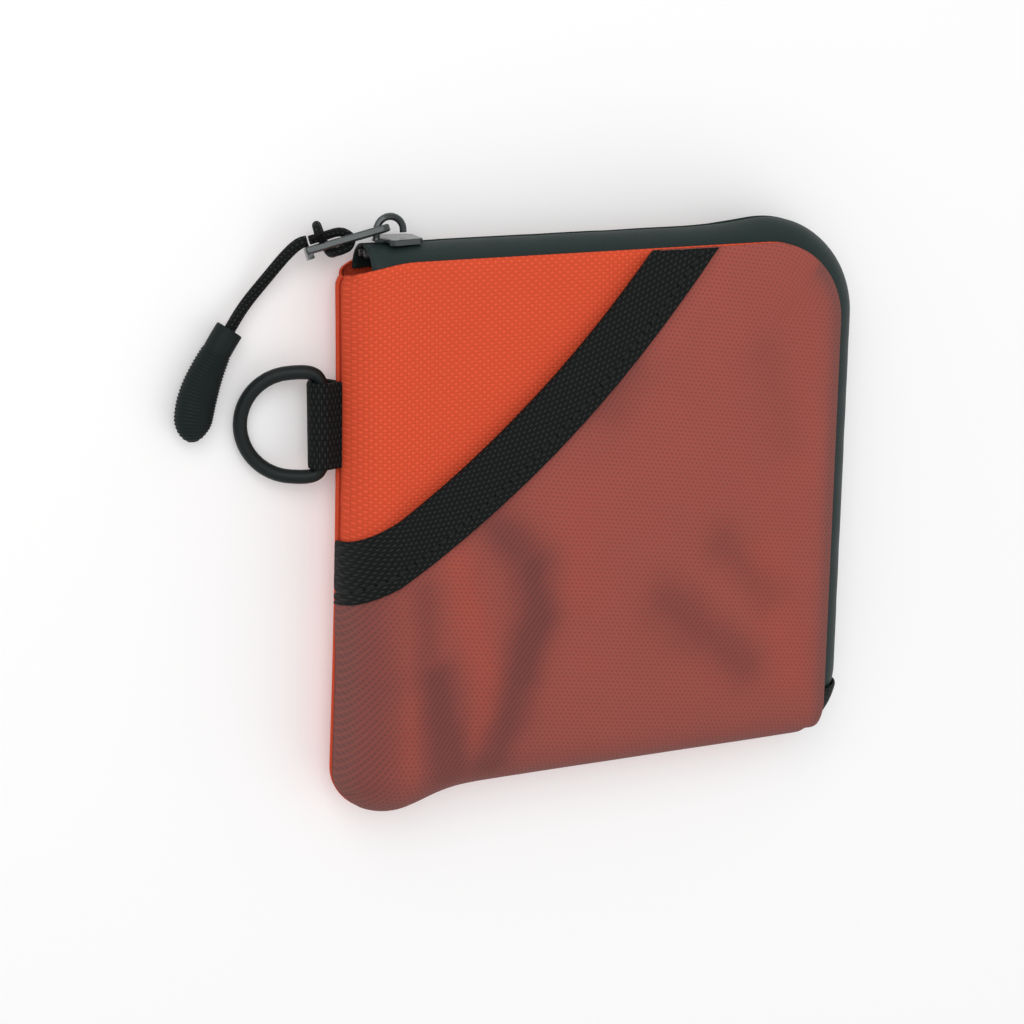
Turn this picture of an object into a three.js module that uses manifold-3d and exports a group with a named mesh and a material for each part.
// A square zip wallet lying on its back: canvas front and back panels, a mesh pocket with a
// diagonal binding, a coil zip round the top and right sides, a cord pull with a rubber grip,
// and a D-ring on a webbing loop. Millimetres. +Z points out of the front panel, +Y to the
// zipped top edge, and the origin is the middle of the flat back.
import * as THREE from "three";
import { mergeVertices } from "three/addons/utils/BufferGeometryUtils.js";
import Module from "manifold-3d";

const wasm = await Module();
wasm.setup();

// Wallet body
const WIDTH = 120; // between the side seams
const HEIGHT = 122; // between the bottom seam and the zip seam
const THICKNESS = 19; // from the back to the front panel at the zip seam
const SEAM_Z = 8; // height of the turned seam at the left and bottom
const EDGE_ROUND = 10; // how far in the panels round over to that seam
const CANVAS = 1.0; // thickness of a panel
const CROWN = 1.2; // how much the front bulges in its middle
const BACK_ROLL = 0.6; // how far the back rolls out past the front at the seam
const GAP = 0.3; // between pieces that touch
const CORNER = { topRight: 19, bottomRight: 4, bottomLeft: 7, topLeft: 3 };
const PANEL_STEPS = 9; // facets across a panel between its rounded edge and its far corner
const CORNER_SAG = { depth: 4.2, at: 12, spread: 10 }; // full lower left corner
const CORNER_DIP = { depth: 3.5, reach: 16 }; // upper left corner, drawn down by the zip end
const SIDE_LEAN = { top: 2.2, drop: 3.2, reach: 40 }; // the left side leans out lower down

// Mesh pocket and its binding
const MESH = 0.45;
const MESH_LIFT = 0.9; // looseness in the middle of the pocket
const BINDING_WIDTH = 12.5;
const BINDING = 0.45; // thickness of one layer of the binding
const MOUTH_TOP = 78.5; // where the binding meets the top edge, from the left
const MOUTH_LEFT = 53; // where it meets the left edge, from the bottom
const MOUTH_BEND = [42.4, 76.9]; // control point of its curve
const MOUTH_EASE = 12; // distance over which the mesh comes back down to the front
const FOLDS = [
  { from: [50, 62], to: [33, 8], width: 6, height: 1.1 },
  { from: [21, 50], to: [12, 10], width: 5, height: 0.9 },
  { from: [88, 40], to: [104, 22], width: 6, height: 0.9 },
];

// Zip
const TAPE = 0.7;
const TAPE_SLOT = 2.0; // between the two tape edges
const TUCK = 3; // tape hidden under a panel's edge
const BULGE_TOP = 3.3; // how far the closed tapes stand out past the seam along the top
const BULGE_SIDE = 7.4; // and down the right side
const TAPE_START = 7; // left end of the zip, from the left side
const TAPE_END = 4.5; // lower end of the zip, from the bottom
const BULGE_FROM = 18; // the tapes begin to stand out more this far before the corner
const COIL_DEPTH = 1.2; // from the crest of the tape down to the coil
const COIL = 1.4; // thickness of the coil
const COIL_WIDTH = 2.6; // from the middle of the chain to the outside of one coil
const TOOTH_PITCH = 2.4;
const TOOTH_REACH = 0.5;
const TAB_LENGTH = 8;
const TAB = 0.8;

// Slider
const SLIDER_X = 14.5; // middle of the slider, from the left side
const SLIDER_LENGTH = 10;
const SLIDER_TAIL = 3.9; // half width at the closed end
const SLIDER_THROAT = 5.2; // half width at the shoulders
const SLIDER_NOSE = 1.4; // half width of the tip under the bail
const PLATE = 0.75;
const FLANGE = 0.9;
const POST = 0.7; // half width of the wedge between the tapes
const BAIL_X = 13.2;
const BAIL_RADIUS = 3.05;
const BAIL_WIRE = 0.8;
const BAIL_RISE = 1.4; // from the plate up to the middle of the bail's arch

// Pull: link, cord and grip
const LINK_LENGTH = 17.4; // between the middles of the two end bars
const LINK_WIDTH = 5.4;
const LINK_RAIL = 1.4;
const LINK_THICK = 1.6;
const LINK_EYE = [-0.9, 0.6, 0.3]; // inner bar from the middle of the bail
const LINK_TURN = [195, 10, 195]; // heading, droop and roll, in degrees
const CORD = 2.5;
const HITCH_CORD = 1.95;
const GRIP_BORE = 3.1;
const BORE_DEPTH = 8.2;
const GRIP_LENGTH = 26;
const GRIP_NECK = 3.05; // radius of the collar
const GRIP_SWELL = 1.3; // how much fatter the ribbed part is
const GRIP_FLAT = 0.78; // the ribbed part's thickness over its width
const GRIP_COLLAR = 5.6;
const GRIP_RIBS = 20;
const RIB_DEPTH = 0.25;
const GRIP_Z = 3.7;

// D-ring and webbing
const RING_WIRE = 3.3;
const RING_WIDTH = 19.8; // clear width over the webbing
const RING_REACH = 6.2; // from the bar to the middle of the round end
const RING_TILT = 17; // the round end rests on the table
const BAR_X = -1.8; // the ring's bar, from the left side
const BAR_Z = 7;
const RING_Y = 86; // middle of the ring, from the bottom
const WEBBING_WIDTH = 19;
const WEBBING = 1.2;
const WEBBING_TAIL = 6; // how far the webbing goes in past the seam

const ORANGE = { color: 0xe84e28, roughness: 0.85, metalness: 0 };
const SMOKE = { color: 0x8c4a46, roughness: 0.7, metalness: 0 };
const TAPE_GREEN = { color: 0x2d3e3c, roughness: 0.5, metalness: 0 };
const BLACK_WEAVE = { color: 0x151a1a, roughness: 0.9, metalness: 0 };
const BLACK_METAL = { color: 0x1e2624, roughness: 0.35, metalness: 0.8 };
const BLACK_RUBBER = { color: 0x1b2323, roughness: 0.7, metalness: 0 };

const group = new THREE.Group();

// Closed meshes and solids
function closed(geometry) {
  const plain = geometry.clone();
  plain.deleteAttribute("normal");
  plain.deleteAttribute("uv");
  return mergeVertices(plain, 1e-4);
}

function solid(geometry) {
  const g = closed(geometry);
  return new wasm.Manifold(
    new wasm.Mesh({
      numProp: 3,
      vertProperties: new Float32Array(g.attributes.position.array),
      triVerts: new Uint32Array(g.index.array),
    }),
  );
}

function geometryOf(made) {
  const mesh = made.getMesh();
  const g = new THREE.BufferGeometry();
  g.setAttribute("position", new THREE.BufferAttribute(mesh.vertProperties, 3));
  g.setIndex(new THREE.BufferAttribute(mesh.triVerts, 1));
  return g;
}

function add(parent, name, geometry, finish) {
  const g = closed(geometry);
  g.computeVertexNormals();
  const mesh = new THREE.Mesh(g, new THREE.MeshStandardMaterial(finish));
  mesh.name = name;
  parent.add(mesh);
  return mesh;
}

// A thin closed sheet over the knots us and vs: place(u, v, top) gives each vertex.
function sheet(us, vs, place) {
  const nu = us.length - 1;
  const nv = vs.length - 1;
  const box = new THREE.BoxGeometry(nu, nv, 1, nu, nv, 1);
  const at = box.attributes.position;
  for (let i = 0; i < at.count; i++) {
    const u = us[Math.round(at.getX(i) + nu / 2)];
    const v = vs[Math.round(at.getY(i) + nv / 2)];
    at.setXYZ(i, ...place(u, v, at.getZ(i) > 0));
  }
  return box;
}

function steps(from, to, count) {
  return Array.from({ length: count + 1 }, (_, i) => from + ((to - from) * i) / count);
}

// Knots across a panel: close together on the rounded edge, then even, then the far corner.
function panelKnots(length, farCorner, middle) {
  const edge = steps(0, 90, 5).map((a) => EDGE_ROUND * (1 - Math.cos((a * Math.PI) / 180)));
  const even = steps(EDGE_ROUND, length - farCorner, middle).slice(1);
  return [...edge, ...even, ...steps(length - farCorner, length, 5).slice(1)];
}

const PANEL_XS = panelKnots(WIDTH, CORNER.topRight, PANEL_STEPS);
const PANEL_YS = panelKnots(HEIGHT, CORNER.topRight, PANEL_STEPS);

// How far the panel has risen from its seam, 0 to 1, and how much it still faces sideways.
const rise = (d) => (d < EDGE_ROUND ? Math.sqrt(Math.max(0, 1 - (1 - d / EDGE_ROUND) ** 2)) : 1);
const lean = (d) => (d < EDGE_ROUND ? 1 - Math.max(0, d) / EDGE_ROUND : 0);
const fade = (t) => Math.max(0, 1 - t) ** 2;

function roundCorner(x, y, cx, cy, radius) {
  const a = Math.abs(x - cx) / radius;
  const b = Math.abs(y - cy) / radius;
  const k = Math.max(a, b) / Math.hypot(a, b);
  return [cx + (x - cx) * k, cy + (y - cy) * k];
}

// Plan of the body: x and y from the lower left, to the centred outline with its corners.
function plan(x, y) {
  const corners = [
    [CORNER.topRight, WIDTH - CORNER.topRight, HEIGHT - CORNER.topRight, 1, 1],
    [CORNER.bottomRight, WIDTH - CORNER.bottomRight, CORNER.bottomRight, 1, -1],
    [CORNER.bottomLeft, CORNER.bottomLeft, CORNER.bottomLeft, -1, -1],
    [CORNER.topLeft, CORNER.topLeft, HEIGHT - CORNER.topLeft, -1, 1],
  ];
  let [px, py] = [x, y];
  for (const [radius, cx, cy, sx, sy] of corners) {
    if ((x - cx) * sx > 1e-9 && (y - cy) * sy > 1e-9) [px, py] = roundCorner(x, y, cx, cy, radius);
  }
  const side = SIDE_LEAN.top - SIDE_LEAN.drop * (1 - py / HEIGHT) ** 2;
  const sag = CORNER_SAG.depth * Math.exp(-(((px - CORNER_SAG.at) / CORNER_SAG.spread) ** 2));
  const dip = CORNER_DIP.depth * fade(Math.max(0, px) / CORNER_DIP.reach);
  const low = fade(Math.max(0, py) / (HEIGHT / 3));
  const high = fade((HEIGHT - py) / (HEIGHT / 3));
  return [
    px + side * fade(Math.max(0, px) / SIDE_LEAN.reach) - WIDTH / 2,
    py - sag * low - dip * high - HEIGHT / 2,
  ];
}

// Points under the front panel's outer face (depth down), and over the back's.
function front(x, y, depth) {
  const up = rise(x) * rise(y);
  const crown = CROWN * (1 - (2 * x / WIDTH - 1) ** 2) * (1 - (2 * y / HEIGHT - 1) ** 2);
  const z = SEAM_Z + GAP / 2 + (THICKNESS - SEAM_Z - GAP / 2 + crown - depth) * up;
  return [...plan(x + depth * lean(x), y + depth * lean(y)), z];
}

function back(x, y, depth) {
  const z = (SEAM_Z - GAP / 2) * (1 - rise(x) * rise(y)) + depth * rise(x) * rise(y);
  const inset = depth - BACK_ROLL;
  return [...plan(x + inset * lean(x), y + inset * lean(y)), z];
}

// Canvas panels, each slit at the seam for the webbing
function webbingSlit() {
  const [x] = plan(0, RING_Y);
  const slit = new THREE.BoxGeometry(2 * WEBBING_TAIL, WEBBING_WIDTH + 2 * GAP, 2 * WEBBING + 3 * GAP);
  return solid(slit.translate(x - 1, RING_Y - HEIGHT / 2, SEAM_Z));
}

function panel(place, outerOnTop) {
  const made = sheet(PANEL_XS, PANEL_YS, (x, y, top) => place(x, y, top === outerOnTop ? 0 : CANVAS));
  return geometryOf(solid(made).subtract(webbingSlit()));
}

// Mesh pocket: a looser sheet over the front, cut off along the mouth
const mouth = new THREE.QuadraticBezierCurve(
  new THREE.Vector2(MOUTH_TOP, HEIGHT),
  new THREE.Vector2(...MOUTH_BEND),
  new THREE.Vector2(0, MOUTH_LEFT),
);
const mouthPoints = mouth.getPoints(40);

// A point beside the middle of the binding, in the body's plan: positive is to the pocket side.
function besideMouth(t, across) {
  const within = Math.min(1, Math.max(0, t));
  const along = mouth.getTangent(within);
  const p = mouth.getPoint(within).addScaledVector(along, (t - within) * WIDTH);
  return [p.x - along.y * across, p.y + along.x * across];
}

function foldHeight(x, y) {
  let height = 0;
  for (const fold of FOLDS) {
    const [ax, ay] = fold.from;
    const dx = fold.to[0] - ax;
    const dy = fold.to[1] - ay;
    const t = Math.min(1, Math.max(0, ((x - ax) * dx + (y - ay) * dy) / (dx * dx + dy * dy)));
    const off = Math.hypot(x - ax - t * dx, y - ay - t * dy) / fold.width;
    height += fold.height * Math.exp(-off * off);
  }
  return height;
}

function meshLift(x, y) {
  const near = Math.min(...mouthPoints.map((p) => Math.hypot(p.x - x, p.y - y)));
  const atMouth = (BINDING + GAP) * fade(Math.max(0, near - BINDING_WIDTH) / MOUTH_EASE);
  const inX = Math.min(1, Math.max(0, x / WIDTH));
  const inY = Math.min(1, Math.max(0, y / HEIGHT));
  const loose = Math.sin(Math.PI * inX) * Math.sin(Math.PI * inY);
  return GAP + atMouth + (MESH_LIFT + foldHeight(x, y)) * loose;
}

// A layer over the front panel that follows the mesh: heights are from the mesh's underside.
function overFront(from, to) {
  return solid(
    sheet(PANEL_XS, PANEL_YS, (x, y, top) => front(x, y, -GAP - meshLift(x, y) - (top ? to : from))),
  );
}

// A block over part of the plan, to cut layers with
function planBlock(points) {
  const shape = new THREE.Shape(
    points.map(([x, y]) => new THREE.Vector2(x - WIDTH / 2, y - HEIGHT / 2)),
  );
  return solid(new THREE.ExtrudeGeometry(shape, { depth: 2 * THICKNESS, bevelEnabled: false }));
}

function mouthLine(across) {
  return steps(-0.15, 1.15, 26).map((t) => besideMouth(t, across));
}

function mouthStrip(from, to) {
  return planBlock([...mouthLine(from), ...mouthLine(to).reverse()]);
}

function meshPocket() {
  const beyond = [[-WIDTH, -HEIGHT], [2 * WIDTH, -HEIGHT], [2 * WIDTH, 2 * HEIGHT]];
  const keep = planBlock([...mouthLine(2 * BINDING - BINDING_WIDTH / 2), ...beyond]);
  return geometryOf(overFront(0, MESH).intersect(keep));
}

// Binding folded over the mesh along the mouth: under layer, upper layer and the fold
function pocketBinding() {
  const half = BINDING_WIDTH / 2;
  const under = overFront(-GAP - BINDING, -GAP).intersect(mouthStrip(-half, half));
  const upper = overFront(MESH + GAP, MESH + GAP + BINDING).intersect(mouthStrip(-half, half));
  const fold = overFront(-GAP - BINDING / 2, MESH + GAP + BINDING / 2);
  return geometryOf(under.add(upper).add(fold.intersect(mouthStrip(-half - GAP, BINDING - half))));
}

// Zip band: stations along the top, round the corner and down the right side
const MIDDLE_Z = THICKNESS / 2;
const BAND_HALF = THICKNESS / 2 - CANVAS - 2 * GAP;
const ROUNDED_RUN = EDGE_ROUND + SIDE_LEAN.top - TAPE_START;
const TOP_RUN = WIDTH - CORNER.topRight - TAPE_START;
const CORNER_RUN = (CORNER.topRight * Math.PI) / 2;
const BAND_RUN = TOP_RUN + CORNER_RUN + HEIGHT - CORNER.topRight - TAPE_END;
const TAPER_RUN = BAND_RUN - 1.5 * TAB_LENGTH;

function station(run) {
  const radius = CORNER.topRight;
  const grown = Math.min(1, Math.max(0, run - TOP_RUN + BULGE_FROM) / (CORNER_RUN + BULGE_FROM));
  const bulge = BULGE_TOP + (BULGE_SIDE - BULGE_TOP) * grown * grown * (3 - 2 * grown);
  if (run <= TOP_RUN) {
    const x = TAPE_START + run;
    return { x: x - WIDTH / 2, y: HEIGHT / 2, nx: 0, ny: 1, up: rise(x - SIDE_LEAN.top), bulge };
  }
  const turned = Math.min(1, (run - TOP_RUN) / CORNER_RUN);
  const angle = (1 - turned) * (Math.PI / 2);
  const nx = Math.cos(angle);
  const ny = Math.sin(angle);
  const x = WIDTH / 2 - radius + radius * nx;
  if (turned < 1) return { x, y: HEIGHT / 2 - radius + radius * ny, nx, ny, up: 1, bulge };
  const y = HEIGHT - radius - (run - TOP_RUN - CORNER_RUN);
  const low = 1 - fade((BAND_RUN - run) / (BAND_RUN - TAPER_RUN));
  return { x, y: y - HEIGHT / 2, nx, ny, up: rise(y), bulge: bulge * (0.3 + 0.7 * low) };
}

function bandPoint({ x, y, nx, ny, up, bulge }, angle, depth) {
  const out = (TUCK + bulge - depth) * Math.cos(angle) - TUCK;
  const z = MIDDLE_Z + (BAND_HALF - depth) * Math.sin(angle);
  return [x + nx * out, y + ny * out, SEAM_Z + (z - SEAM_Z) * up];
}

function bandRuns() {
  return [
    ...steps(0, ROUNDED_RUN, 3),
    ...steps(ROUNDED_RUN, TOP_RUN - BULGE_FROM, 5).slice(1),
    ...steps(TOP_RUN - BULGE_FROM, TOP_RUN, 3).slice(1),
    ...steps(TOP_RUN, TOP_RUN + CORNER_RUN, 7).slice(1),
    ...steps(TOP_RUN + CORNER_RUN, TAPER_RUN, 6).slice(1),
    ...steps(TAPER_RUN, BAND_RUN, 4).slice(1),
  ];
}

function zipperTape(side) {
  const edge = Math.asin(TAPE_SLOT / 2 / BAND_HALF);
  const angles = side > 0 ? steps(Math.PI / 2, edge, 7) : steps(-edge, -Math.PI / 2, 7);
  return sheet(bandRuns(), angles, (run, angle, top) =>
    bandPoint(station(run), angle, top ? 0 : TAPE),
  );
}

// Coil under a tape edge. Its inner edge has the teeth, which part ahead of the slider's wedge.
function zipperCoil(side) {
  const teeth = Math.floor(TAPER_RUN / TOOTH_PITCH);
  const runs = steps(0, teeth * TOOTH_PITCH, 2 * teeth);
  const place = (run, edge, top) => {
    const at = station(run);
    const ahead = (SLIDER_X - TAPE_START - run) / (SLIDER_LENGTH / 2);
    const parted = (POST + TOOTH_REACH) * (1 - fade(Math.min(1, Math.max(0, ahead / 0.6))));
    const tooth = (Math.round((2 * run) / TOOTH_PITCH) % 2 ? 1 : -1) * TOOTH_REACH;
    const z = edge ? side * (COIL_WIDTH + parted) : side * (GAP / 2 + parted) + tooth / 2;
    return bandPoint(at, Math.asin(z / BAND_HALF), COIL_DEPTH + (top ? 0 : COIL));
  };
  return sheet(runs, side > 0 ? [true, false] : [false, true], place);
}

// Folded fabric tab over the lower end of the zip
function zipEndTab() {
  const place = (run, share, top) => {
    const at = station(run);
    const outer = TUCK + at.bulge + GAP + TAB;
    const angle = share * Math.acos(Math.min(1, (TUCK + 2 * GAP) / outer));
    return bandPoint(at, angle, -GAP - (top ? TAB : 0));
  };
  return sheet(steps(BAND_RUN - TAB_LENGTH, BAND_RUN, 4), steps(1, -1, 10), place);
}

// Slider: two plates joined by a wedge, with flanges that guide the coils
function outward(shape, from, to, bevel = 0) {
  const g = new THREE.ExtrudeGeometry(shape, {
    depth: to - from - 2 * bevel,
    bevelEnabled: bevel > 0,
    bevelSize: bevel,
    bevelOffset: -bevel,
    bevelThickness: bevel,
    bevelSegments: 1,
    curveSegments: 4,
  });
  return g.rotateX(-Math.PI / 2).translate(0, from + bevel, 0);
}

function symmetricShape(points) {
  const mirrored = points.map(([x, y]) => [x, -y]).reverse();
  return new THREE.Shape([...points, ...mirrored].map(([x, y]) => new THREE.Vector2(x, y)));
}

const BAIL_AT = BAIL_X - SLIDER_X;
const COIL_FLOOR = BULGE_TOP - COIL_DEPTH - COIL - 2 * GAP - 0.1;
const PLATE_TOP = BULGE_TOP + GAP + PLATE;

function sliderBody() {
  const nose = -SLIDER_LENGTH / 2;
  const tail = SLIDER_LENGTH / 2;
  const shoulder = nose + 1.4;
  const outline = symmetricShape([
    [nose, SLIDER_NOSE],
    [shoulder, SLIDER_NOSE + 0.9],
    [shoulder + 0.7, SLIDER_THROAT - 0.7],
    [shoulder + 1.5, SLIDER_THROAT],
    [shoulder + 2.6, SLIDER_THROAT - 0.2],
    [tail - 0.8, SLIDER_TAIL],
    [tail, SLIDER_TAIL - 0.8],
  ]);
  const channel = symmetricShape([
    [nose - 1, SLIDER_THROAT - FLANGE],
    [shoulder + 2.6, SLIDER_THROAT - FLANGE],
    [tail - 0.8, SLIDER_TAIL - FLANGE],
    [tail + 1, SLIDER_TAIL - FLANGE],
  ]);
  const side = symmetricShape([
    [nose - 1, 2 * SLIDER_THROAT],
    [tail + 1, 2 * SLIDER_THROAT],
  ]);
  const wedge = symmetricShape([
    [nose + 0.5, 0.25],
    [nose + 1.4, POST],
    [nose + 2.2, POST],
    [nose + 3.1, 0.2],
  ]);
  const slope = new THREE.BoxGeometry(SLIDER_LENGTH, PLATE, 3 * SLIDER_THROAT);
  slope.translate(-SLIDER_LENGTH / 2, PLATE / 2, 0).rotateZ(0.14).translate(nose + 2.7, PLATE_TOP, 0);
  return solid(outward(outline, COIL_FLOOR - PLATE, PLATE_TOP, 0.15))
    .subtract(solid(outward(channel, COIL_FLOOR, BULGE_TOP + GAP)))
    .subtract(solid(outward(side, COIL_FLOOR + 2 * GAP, BULGE_TOP - GAP / 2)))
    .add(solid(outward(wedge, COIL_FLOOR - GAP, BULGE_TOP + 2 * GAP)))
    .subtract(solid(slope));
}

// Round section swept along a path of points
function tube(points, diameter, sides, count) {
  const ring = steps(0, 2 * Math.PI, sides).slice(1);
  const section = ring.map(
    (a) => new THREE.Vector2((diameter / 2) * Math.cos(a), (diameter / 2) * Math.sin(a)),
  );
  return new THREE.ExtrudeGeometry(new THREE.Shape(section), {
    steps: count,
    extrudePath: new THREE.CatmullRomCurve3(points.map((p) => new THREE.Vector3(...p))),
    bevelEnabled: false,
  });
}

function bail() {
  const arch = steps(180, -8, 8).map((a) => [
    BAIL_AT + BAIL_RADIUS * Math.cos((a * Math.PI) / 180),
    PLATE_TOP + BAIL_RISE + BAIL_RADIUS * Math.sin((a * Math.PI) / 180),
    0,
  ]);
  const foot = [BAIL_AT - BAIL_RADIUS, PLATE_TOP - PLATE / 2 - 0.2, 0];
  return solid(tube([foot, ...arch], 2 * BAIL_WIRE, 8, 16));
}

// Pull link: a long ring with a lip at its outer end
function roundedBar(x0, x1, half, r0, r1) {
  const path = new THREE.Path();
  path.moveTo(x0 + r0, -half).lineTo(x1 - r1, -half).quadraticCurveTo(x1, -half, x1, r1 - half);
  path.lineTo(x1, half - r1).quadraticCurveTo(x1, half, x1 - r1, half).lineTo(x0 + r0, half);
  path.quadraticCurveTo(x0, half, x0, half - r0).lineTo(x0, r0 - half);
  path.quadraticCurveTo(x0, -half, x0 + r0, -half);
  return path;
}

function pullLink() {
  const rail = LINK_RAIL / 2;
  const half = LINK_WIDTH / 2;
  const outer = roundedBar(-rail, LINK_LENGTH + rail, half, half - 0.6, 0.7);
  const shape = new THREE.Shape(outer.getPoints(3));
  const slot = roundedBar(rail, LINK_LENGTH - rail, half - LINK_RAIL, 0.9, 0.3);
  shape.holes.push(new THREE.Path(slot.getPoints(3)));
  const lip = new THREE.BoxGeometry(LINK_RAIL, LINK_THICK + 1, LINK_WIDTH - 1);
  lip.translate(LINK_LENGTH, -0.6, 0);
  const ring = outward(shape, -LINK_THICK / 2, LINK_THICK / 2, 0.3);
  return geometryOf(solid(ring).add(solid(lip)));
}

// Cord hitched round the link, then its free run to the grip
const HITCH_ROUTE = [
  [16.6, 2.1, 0], [15.2, 2.1, 0], [12.8, 2.1, 0], [10.4, 2.1, 0], [8.9, 1.5, 0], [7.9, 0.1, 0],
  [8.8, -1.4, 0], [10.3, -1.8, 0], [11.8, -1.8, 1.0], [12.6, -1.55, 3.8], [13.2, 0.4, 4.4],
  [13.6, 2.6, 3.6], [13.9, 4.3, 1.6], [14.2, 4.65, -0.4], [14.4, 3.9, -2.1], [14.5, 2.4, -2.8],
];
const CORD_ROUTE = [
  [-64.3, 64.95, 6.26], [-65.8, 64.5, 5.9], [-67.3, 63.3, 5.3], [-68.8, 61.6, 4.5],
  [-70.4, 59.6, 3.8], [-72.2, 57.3, 3.1], [-74.2, 54.9, 2.6], [-76.3, 52.5, 2.5],
  [-78.3, 50.2, 2.9], [-80.1, 47.9, 3.5], [-81.75, 45.5, 3.7], [-83.3, 43.1, 3.7],
  [-84.9, 40.4, 3.7],
];

// Grip: a ribbed rubber teardrop, turned and then bent along its middle line
const gripLine = new THREE.QuadraticBezierCurve(
  new THREE.Vector2(-81.0, 46.6),
  new THREE.Vector2(-90.6, 33),
  new THREE.Vector2(-89.7, 22.7),
);

function gripRadius(t) {
  const swell = Math.sin(Math.PI * Math.max(0, t - 0.12) ** 1.25);
  const tip = t > 0.8 ? Math.sqrt(Math.max(0, 1 - ((t - 0.8) / 0.2) ** 2)) : 1;
  return (GRIP_NECK + GRIP_SWELL * swell) * tip;
}

function pullGrip() {
  const bore = GRIP_BORE / 2;
  const profile = [[0, BORE_DEPTH], [bore, BORE_DEPTH], [bore, 0], [GRIP_NECK - GAP, 0]];
  profile.push([GRIP_NECK, GAP], [GRIP_NECK, GRIP_COLLAR]);
  const pitch = (GRIP_LENGTH - GRIP_COLLAR - 1) / GRIP_RIBS;
  for (let i = 0; i <= GRIP_RIBS; i++) {
    const along = GRIP_COLLAR + GAP + pitch * i;
    const radius = gripRadius(along / GRIP_LENGTH);
    profile.push([radius, along], [Math.max(GAP, radius - RIB_DEPTH), along + pitch / 2]);
  }
  profile.push([0, GRIP_LENGTH]);
  const turned = new THREE.LatheGeometry(profile.map(([r, along]) => new THREE.Vector2(r, along)), 10);
  const at = turned.attributes.position;
  for (let i = 0; i < at.count; i++) {
    const along = Math.min(GRIP_LENGTH, at.getY(i));
    const flatter = Math.min(1, Math.max(0, along / GRIP_COLLAR - 1));
    const p = gripLine.getPointAt(along / GRIP_LENGTH);
    const way = gripLine.getTangentAt(along / GRIP_LENGTH);
    const across = at.getX(i);
    const z = GRIP_Z + at.getZ(i) * (1 + (GRIP_FLAT - 1) * flatter);
    at.setXYZ(i, p.x + way.y * across, p.y - way.x * across, z);
  }
  return turned;
}

// D-ring about its bar, lying with the round end down
function dRing() {
  const radius = (RING_WIDTH + RING_WIRE) / 2;
  const bend = RING_WIRE * 0.8;
  const half = [[0, 0], [0, radius - bend], [-0.3 * bend, radius - 0.3 * bend], [-bend, radius]];
  const arc = steps(90, 270, 14).map((a) => [
    -RING_REACH + radius * Math.cos((a * Math.PI) / 180),
    radius * Math.sin((a * Math.PI) / 180),
  ]);
  const other = half.map(([x, y]) => [x, -y]).reverse();
  const start = [[0, radius * 0.3], ...half.slice(1)];
  const end = [...other.slice(0, -1), [0, -radius * 0.3]];
  const path = [...start, ...arc, ...end].map(([x, y]) => [x, y, 0]);
  const bar = tube([[0, -radius * 0.35, 0], [0, 0, 0], [0, radius * 0.35, 0]], RING_WIRE, 10, 1);
  return geometryOf(solid(tube(path, RING_WIRE, 10, 32)).add(solid(bar)));
}

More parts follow.
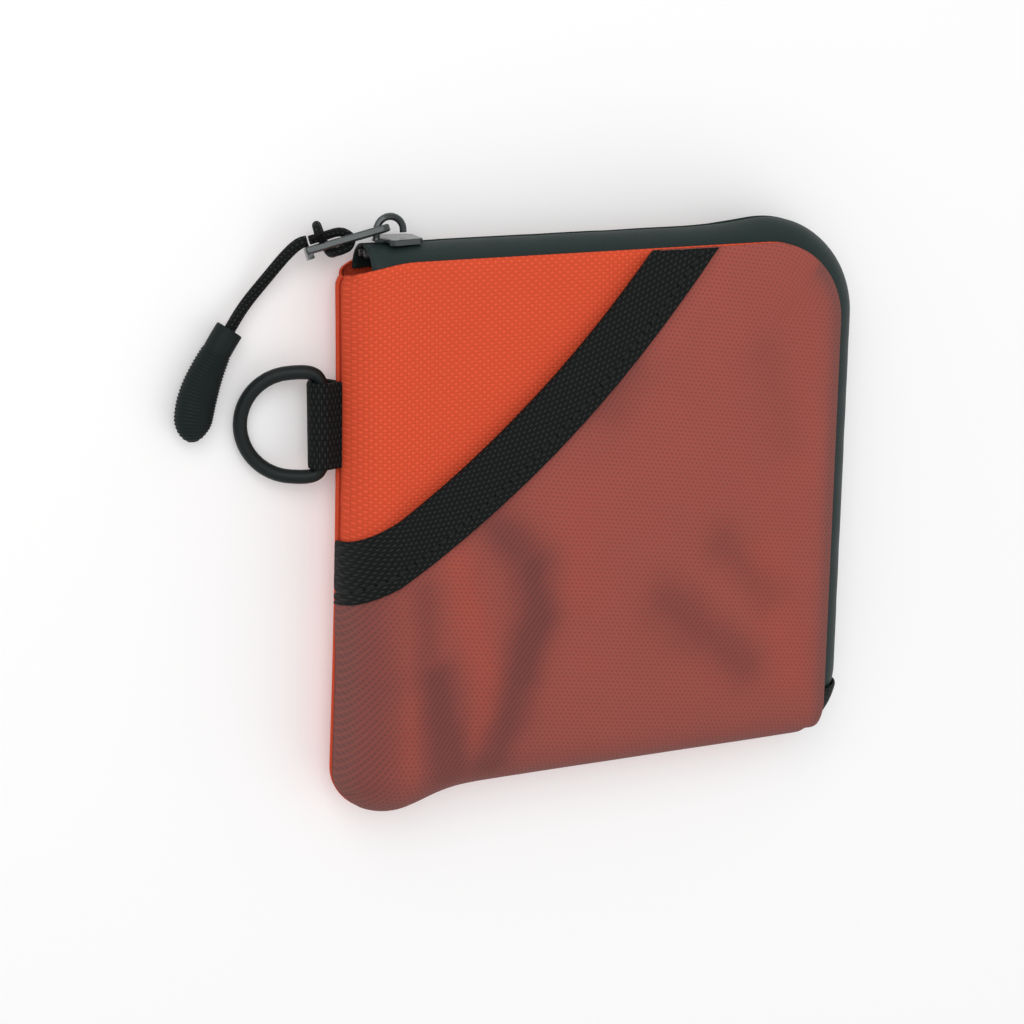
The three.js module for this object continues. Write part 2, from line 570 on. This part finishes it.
// Webbing folded round the ring's bar, both tails sewn into the side seam
function webbingLoop() {
  const [seamX] = plan(0, RING_Y);
  const barX = BAR_X - WIDTH / 2;
  const radius = RING_WIRE / 2 + 0.4 + WEBBING / 2;
  const layer = (WEBBING + GAP) / 2;
  const mouthX = seamX - 2 * GAP;
  // where a straight from a layer at the seam meets the fold, as an angle about the bar
  const meets = (side) => {
    const [dx, dz] = [mouthX - barX, SEAM_Z + side * layer - BAR_Z];
    return Math.atan2(dz, dx) + side * Math.acos(radius / Math.hypot(dx, dz));
  };
  const turn = steps(meets(1), 2 * Math.PI + meets(-1), 10).map((a) => [
    barX + radius * Math.cos(a),
    BAR_Z + radius * Math.sin(a),
  ]);
  const upper = [[seamX + WEBBING_TAIL - 2, SEAM_Z + layer], [mouthX, SEAM_Z + layer]];
  const lower = [[mouthX, SEAM_Z - layer], [seamX + WEBBING_TAIL - 2, SEAM_Z - layer]];
  const line = [...upper, ...turn, ...lower].map(([x, z], i) => ({ x, z, i }));
  const place = (y, p, top) => {
    const before = line[Math.max(0, p.i - 1)];
    const after = line[Math.min(line.length - 1, p.i + 1)];
    const dx = after.x - before.x;
    const dz = after.z - before.z;
    const off = ((top ? 1 : -1) * WEBBING) / 2 / Math.hypot(dx, dz);
    return [p.x + dz * off, y, p.z - dx * off];
  };
  const middle = RING_Y - HEIGHT / 2;
  const across = steps(middle + WEBBING_WIDTH / 2, middle - WEBBING_WIDTH / 2, 4);
  return sheet(line, across, (p, y, top) => place(y, p, top));
}

add(group, "back_panel", panel(back, false), ORANGE);
add(group, "front_panel", panel(front, true), ORANGE);
add(group, "mesh_pocket", meshPocket(), SMOKE);
add(group, "pocket_binding", pocketBinding(), BLACK_WEAVE);
add(group, "zipper_tape_front", zipperTape(1), TAPE_GREEN);
add(group, "zipper_tape_back", zipperTape(-1), TAPE_GREEN);
add(group, "zipper_coil_front", zipperCoil(1), BLACK_WEAVE);
add(group, "zipper_coil_back", zipperCoil(-1), BLACK_WEAVE);
add(group, "zip_end_tab", zipEndTab(), BLACK_WEAVE);
add(group, "webbing_loop", webbingLoop(), BLACK_WEAVE);

const sliderAt = new THREE.Group();
sliderAt.position.set(SLIDER_X - WIDTH / 2, HEIGHT / 2, MIDDLE_Z);
add(sliderAt, "zipper_slider", geometryOf(sliderBody().add(bail())), BLACK_METAL);
group.add(sliderAt);

const linkAt = new THREE.Group();
linkAt.position.set(BAIL_AT, PLATE_TOP + BAIL_RISE, 0).add(new THREE.Vector3(...LINK_EYE));
const [heading, droop, roll] = LINK_TURN.map((a) => (a * Math.PI) / 180);
linkAt.rotation.set(roll, droop, heading, "ZYX");
add(linkAt, "pull_link", pullLink(), BLACK_METAL);
add(linkAt, "cord_hitch", tube(HITCH_ROUTE, HITCH_CORD, 8, 44), BLACK_WEAVE);
sliderAt.add(linkAt);

add(group, "pull_cord", tube(CORD_ROUTE, CORD, 8, 12), BLACK_WEAVE);
add(group, "pull_grip", pullGrip(), BLACK_RUBBER);

const ringAt = new THREE.Group();
ringAt.position.set(BAR_X - WIDTH / 2, RING_Y - HEIGHT / 2, BAR_Z);
ringAt.rotation.y = (-RING_TILT * Math.PI) / 180;
add(ringAt, "d_ring", dRing(), BLACK_METAL);
group.add(ringAt);

export default group;
